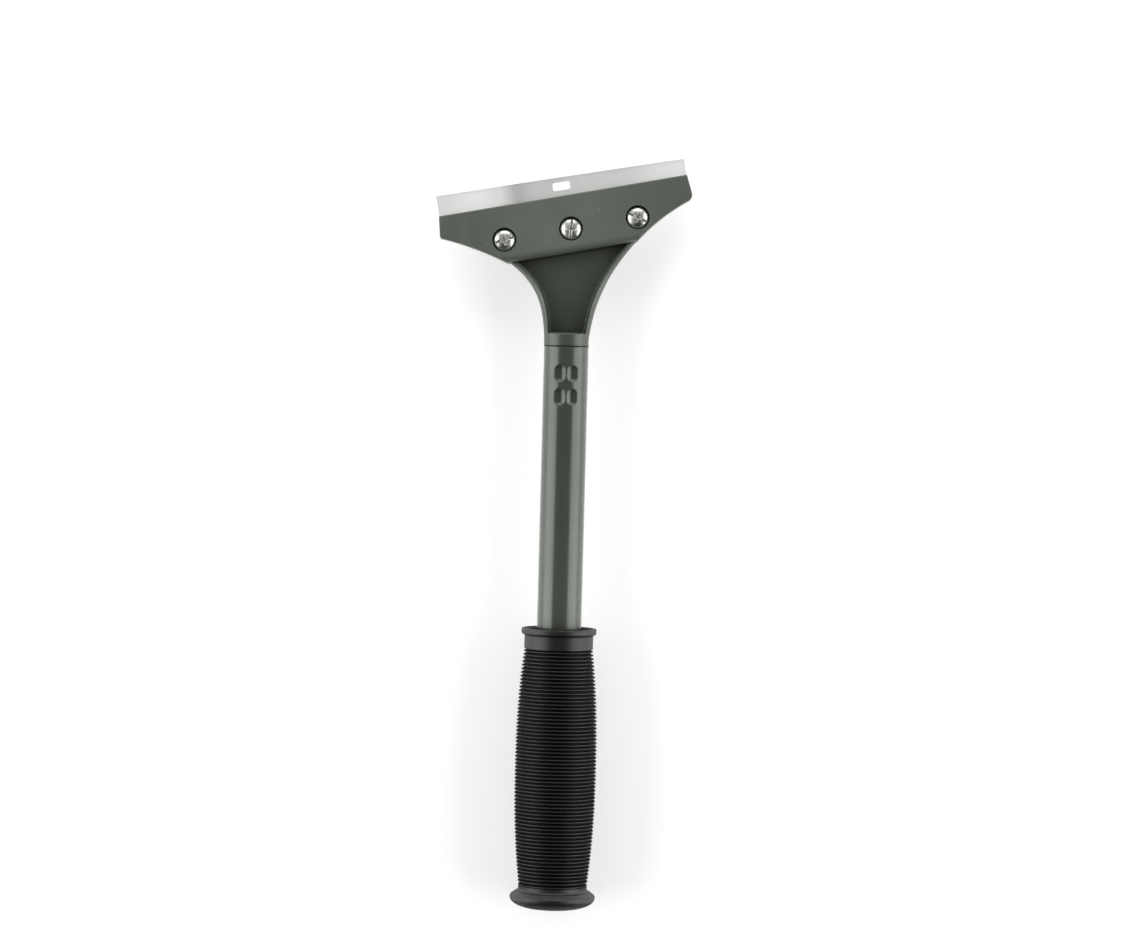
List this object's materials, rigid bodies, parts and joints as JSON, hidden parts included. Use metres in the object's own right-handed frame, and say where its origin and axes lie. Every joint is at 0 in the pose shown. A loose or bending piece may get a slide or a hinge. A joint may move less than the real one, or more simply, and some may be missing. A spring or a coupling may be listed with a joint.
{
  "type": "wall scraper",
  "caption": "Long-handled wall scraper: clamped double-edged blade in a skewed die-cast head, crimped steel tube and ribbed rubber grip.",
  "frame": {"origin": "centre of the grip's flat butt end, on the tube's axis", "axes": "+Y up the tube towards the blade, +Z out of the side with the clamp plate and screws, +X to the right"},
  "size_m": [0.103, 0.3035, 0.0344],
  "materials": {
    "cast_paint": "satin grey-green paint on die casting",
    "tube_paint": "semi-gloss grey-green paint on steel tube",
    "blade_steel": "rolled strip steel with ground edges",
    "zinc_plate": "bright zinc plating",
    "grip_rubber": "matte black moulded rubber"
  },
  "bodies": {
    "handle": {"holder": "cast_paint", "tube": "tube_paint", "grip": "grip_rubber"},
    "clamp": {"clamp_plate": "cast_paint"},
    "blade": {"blade": "blade_steel"},
    "washer_left": {"washer_left": "zinc_plate"},
    "screw_left": {"screw_left": "zinc_plate"},
    "washer_middle": {"washer_middle": "zinc_plate"},
    "screw_middle": {"screw_middle": "zinc_plate"},
    "washer_right": {"washer_right": "zinc_plate"},
    "screw_right": {"screw_right": "zinc_plate"}
  },
  "joints": [
    {"name": "clamp_lift", "type": "slide", "parent": "handle", "child": "clamp", "axis": [-0.005, 0.0257, 0.9997], "range_m": [0, 0.012]},
    {"name": "blade_slide", "type": "slide", "parent": "handle", "child": "blade", "axis": [-0.1907, 0.9813, -0.0262], "range_m": [0, 0.008]},
    {"name": "screw_left_rise", "type": "slide", "parent": "clamp", "child": "washer_left", "axis": [-0.005, 0.0257, 0.9997], "range_m": [0, 0.0035]},
    {"name": "screw_left_turn", "type": "hinge", "parent": "washer_left", "child": "screw_left", "pos_m": [-0.02594, 0.2687, 0], "axis": [-0.005, 0.0257, 0.9997], "range_deg": [0, 1801]},
    {"name": "screw_middle_rise", "type": "slide", "parent": "clamp", "child": "washer_middle", "axis": [-0.005, 0.0257, 0.9997], "range_m": [0, 0.0035]},
    {"name": "screw_middle_turn", "type": "hinge", "parent": "washer_middle", "child": "screw_middle", "pos_m": [0.00067, 0.27387, 0], "axis": [-0.005, 0.0257, 0.9997], "range_deg": [0, 1801]},
    {"name": "screw_right_rise", "type": "slide", "parent": "clamp", "child": "washer_right", "axis": [-0.005, 0.0257, 0.9997], "range_m": [0, 0.0035]},
    {"name": "screw_right_turn", "type": "hinge", "parent": "washer_right", "child": "screw_right", "pos_m": [0.02727, 0.27904, 0], "axis": [-0.005, 0.0257, 0.9997], "range_deg": [0, 1801]}
  ],
  "couplings": [
    {"joint": "screw_left_turn", "follows": "screw_left_rise", "rad_per_m": 8976},
    {"joint": "screw_middle_turn", "follows": "screw_middle_rise", "rad_per_m": 8976},
    {"joint": "screw_right_turn", "follows": "screw_right_rise", "rad_per_m": 8976}
  ]
}
